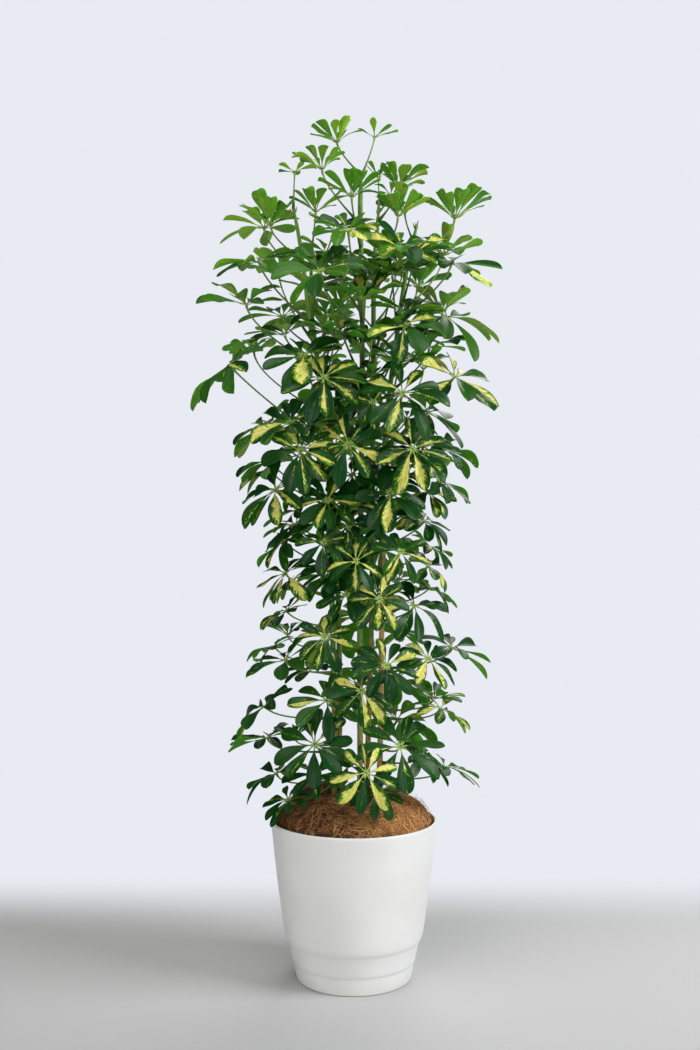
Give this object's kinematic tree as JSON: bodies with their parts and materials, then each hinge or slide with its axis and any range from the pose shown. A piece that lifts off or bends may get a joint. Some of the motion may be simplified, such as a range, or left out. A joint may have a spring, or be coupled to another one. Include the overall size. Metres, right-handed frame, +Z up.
{
  "type": "potted umbrella plant",
  "caption": "Tall variegated umbrella plant with upright leafy stems, in a tapered plastic pot topped with coir.",
  "frame": {"origin": "centre of the pot's underside, on the surface that it stands on", "axes": "+Z up, -Y to the front, +X to the right seen from the front"},
  "size_m": [0.5487, 0.4735, 1.5536],
  "materials": {
    "pot": "matte warm white",
    "soil": "dark damp potting mix",
    "coir": "dry brown coconut fibre",
    "leaf": "waxy dark green with cream markings"
  },
  "bodies": {
    "root": {"pot": "pot", "potting_soil": "soil", "coir_mulch": "coir", "leafy_stem_left": "leaf", "leafy_stem_left_rear": "leaf", "leafy_stem_centre": "leaf", "leafy_stem_right_rear": "leaf", "leafy_stem_right": "leaf"}
  },
  "joints": []
}
